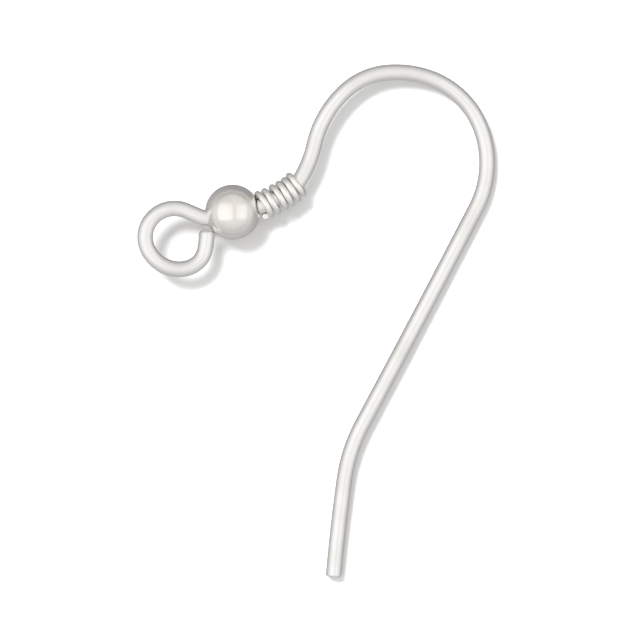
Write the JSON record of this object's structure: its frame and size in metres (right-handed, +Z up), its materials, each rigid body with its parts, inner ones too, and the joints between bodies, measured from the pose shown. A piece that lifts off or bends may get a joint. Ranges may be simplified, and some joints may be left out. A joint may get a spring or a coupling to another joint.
{
  "type": "fish hook ear wire",
  "caption": "Ear wire bent from one round silver wire, with an open eye, a hollow ball bead and a tightly wrapped wire coil below a tall arch, lying on its side.",
  "frame": {"origin": "on the surface that the ear wire lies on, under the middle of its bounding box", "axes": "+Z up from that surface, +Y along the hook's height from its tail up to its arch, +X from the eye side across to the back leg"},
  "size_m": [0.0162, 0.0234, 0.0025],
  "materials": {
    "drawn_silver_wire": "bright drawn sterling silver wire",
    "polished_silver_bead": "polished sterling silver",
    "fine_silver_wire": "bright thin silver wrapping wire"
  },
  "bodies": {
    "root": {"ear_hook": "drawn_silver_wire", "bead": "polished_silver_bead", "coil": "fine_silver_wire"}
  },
  "joints": []
}
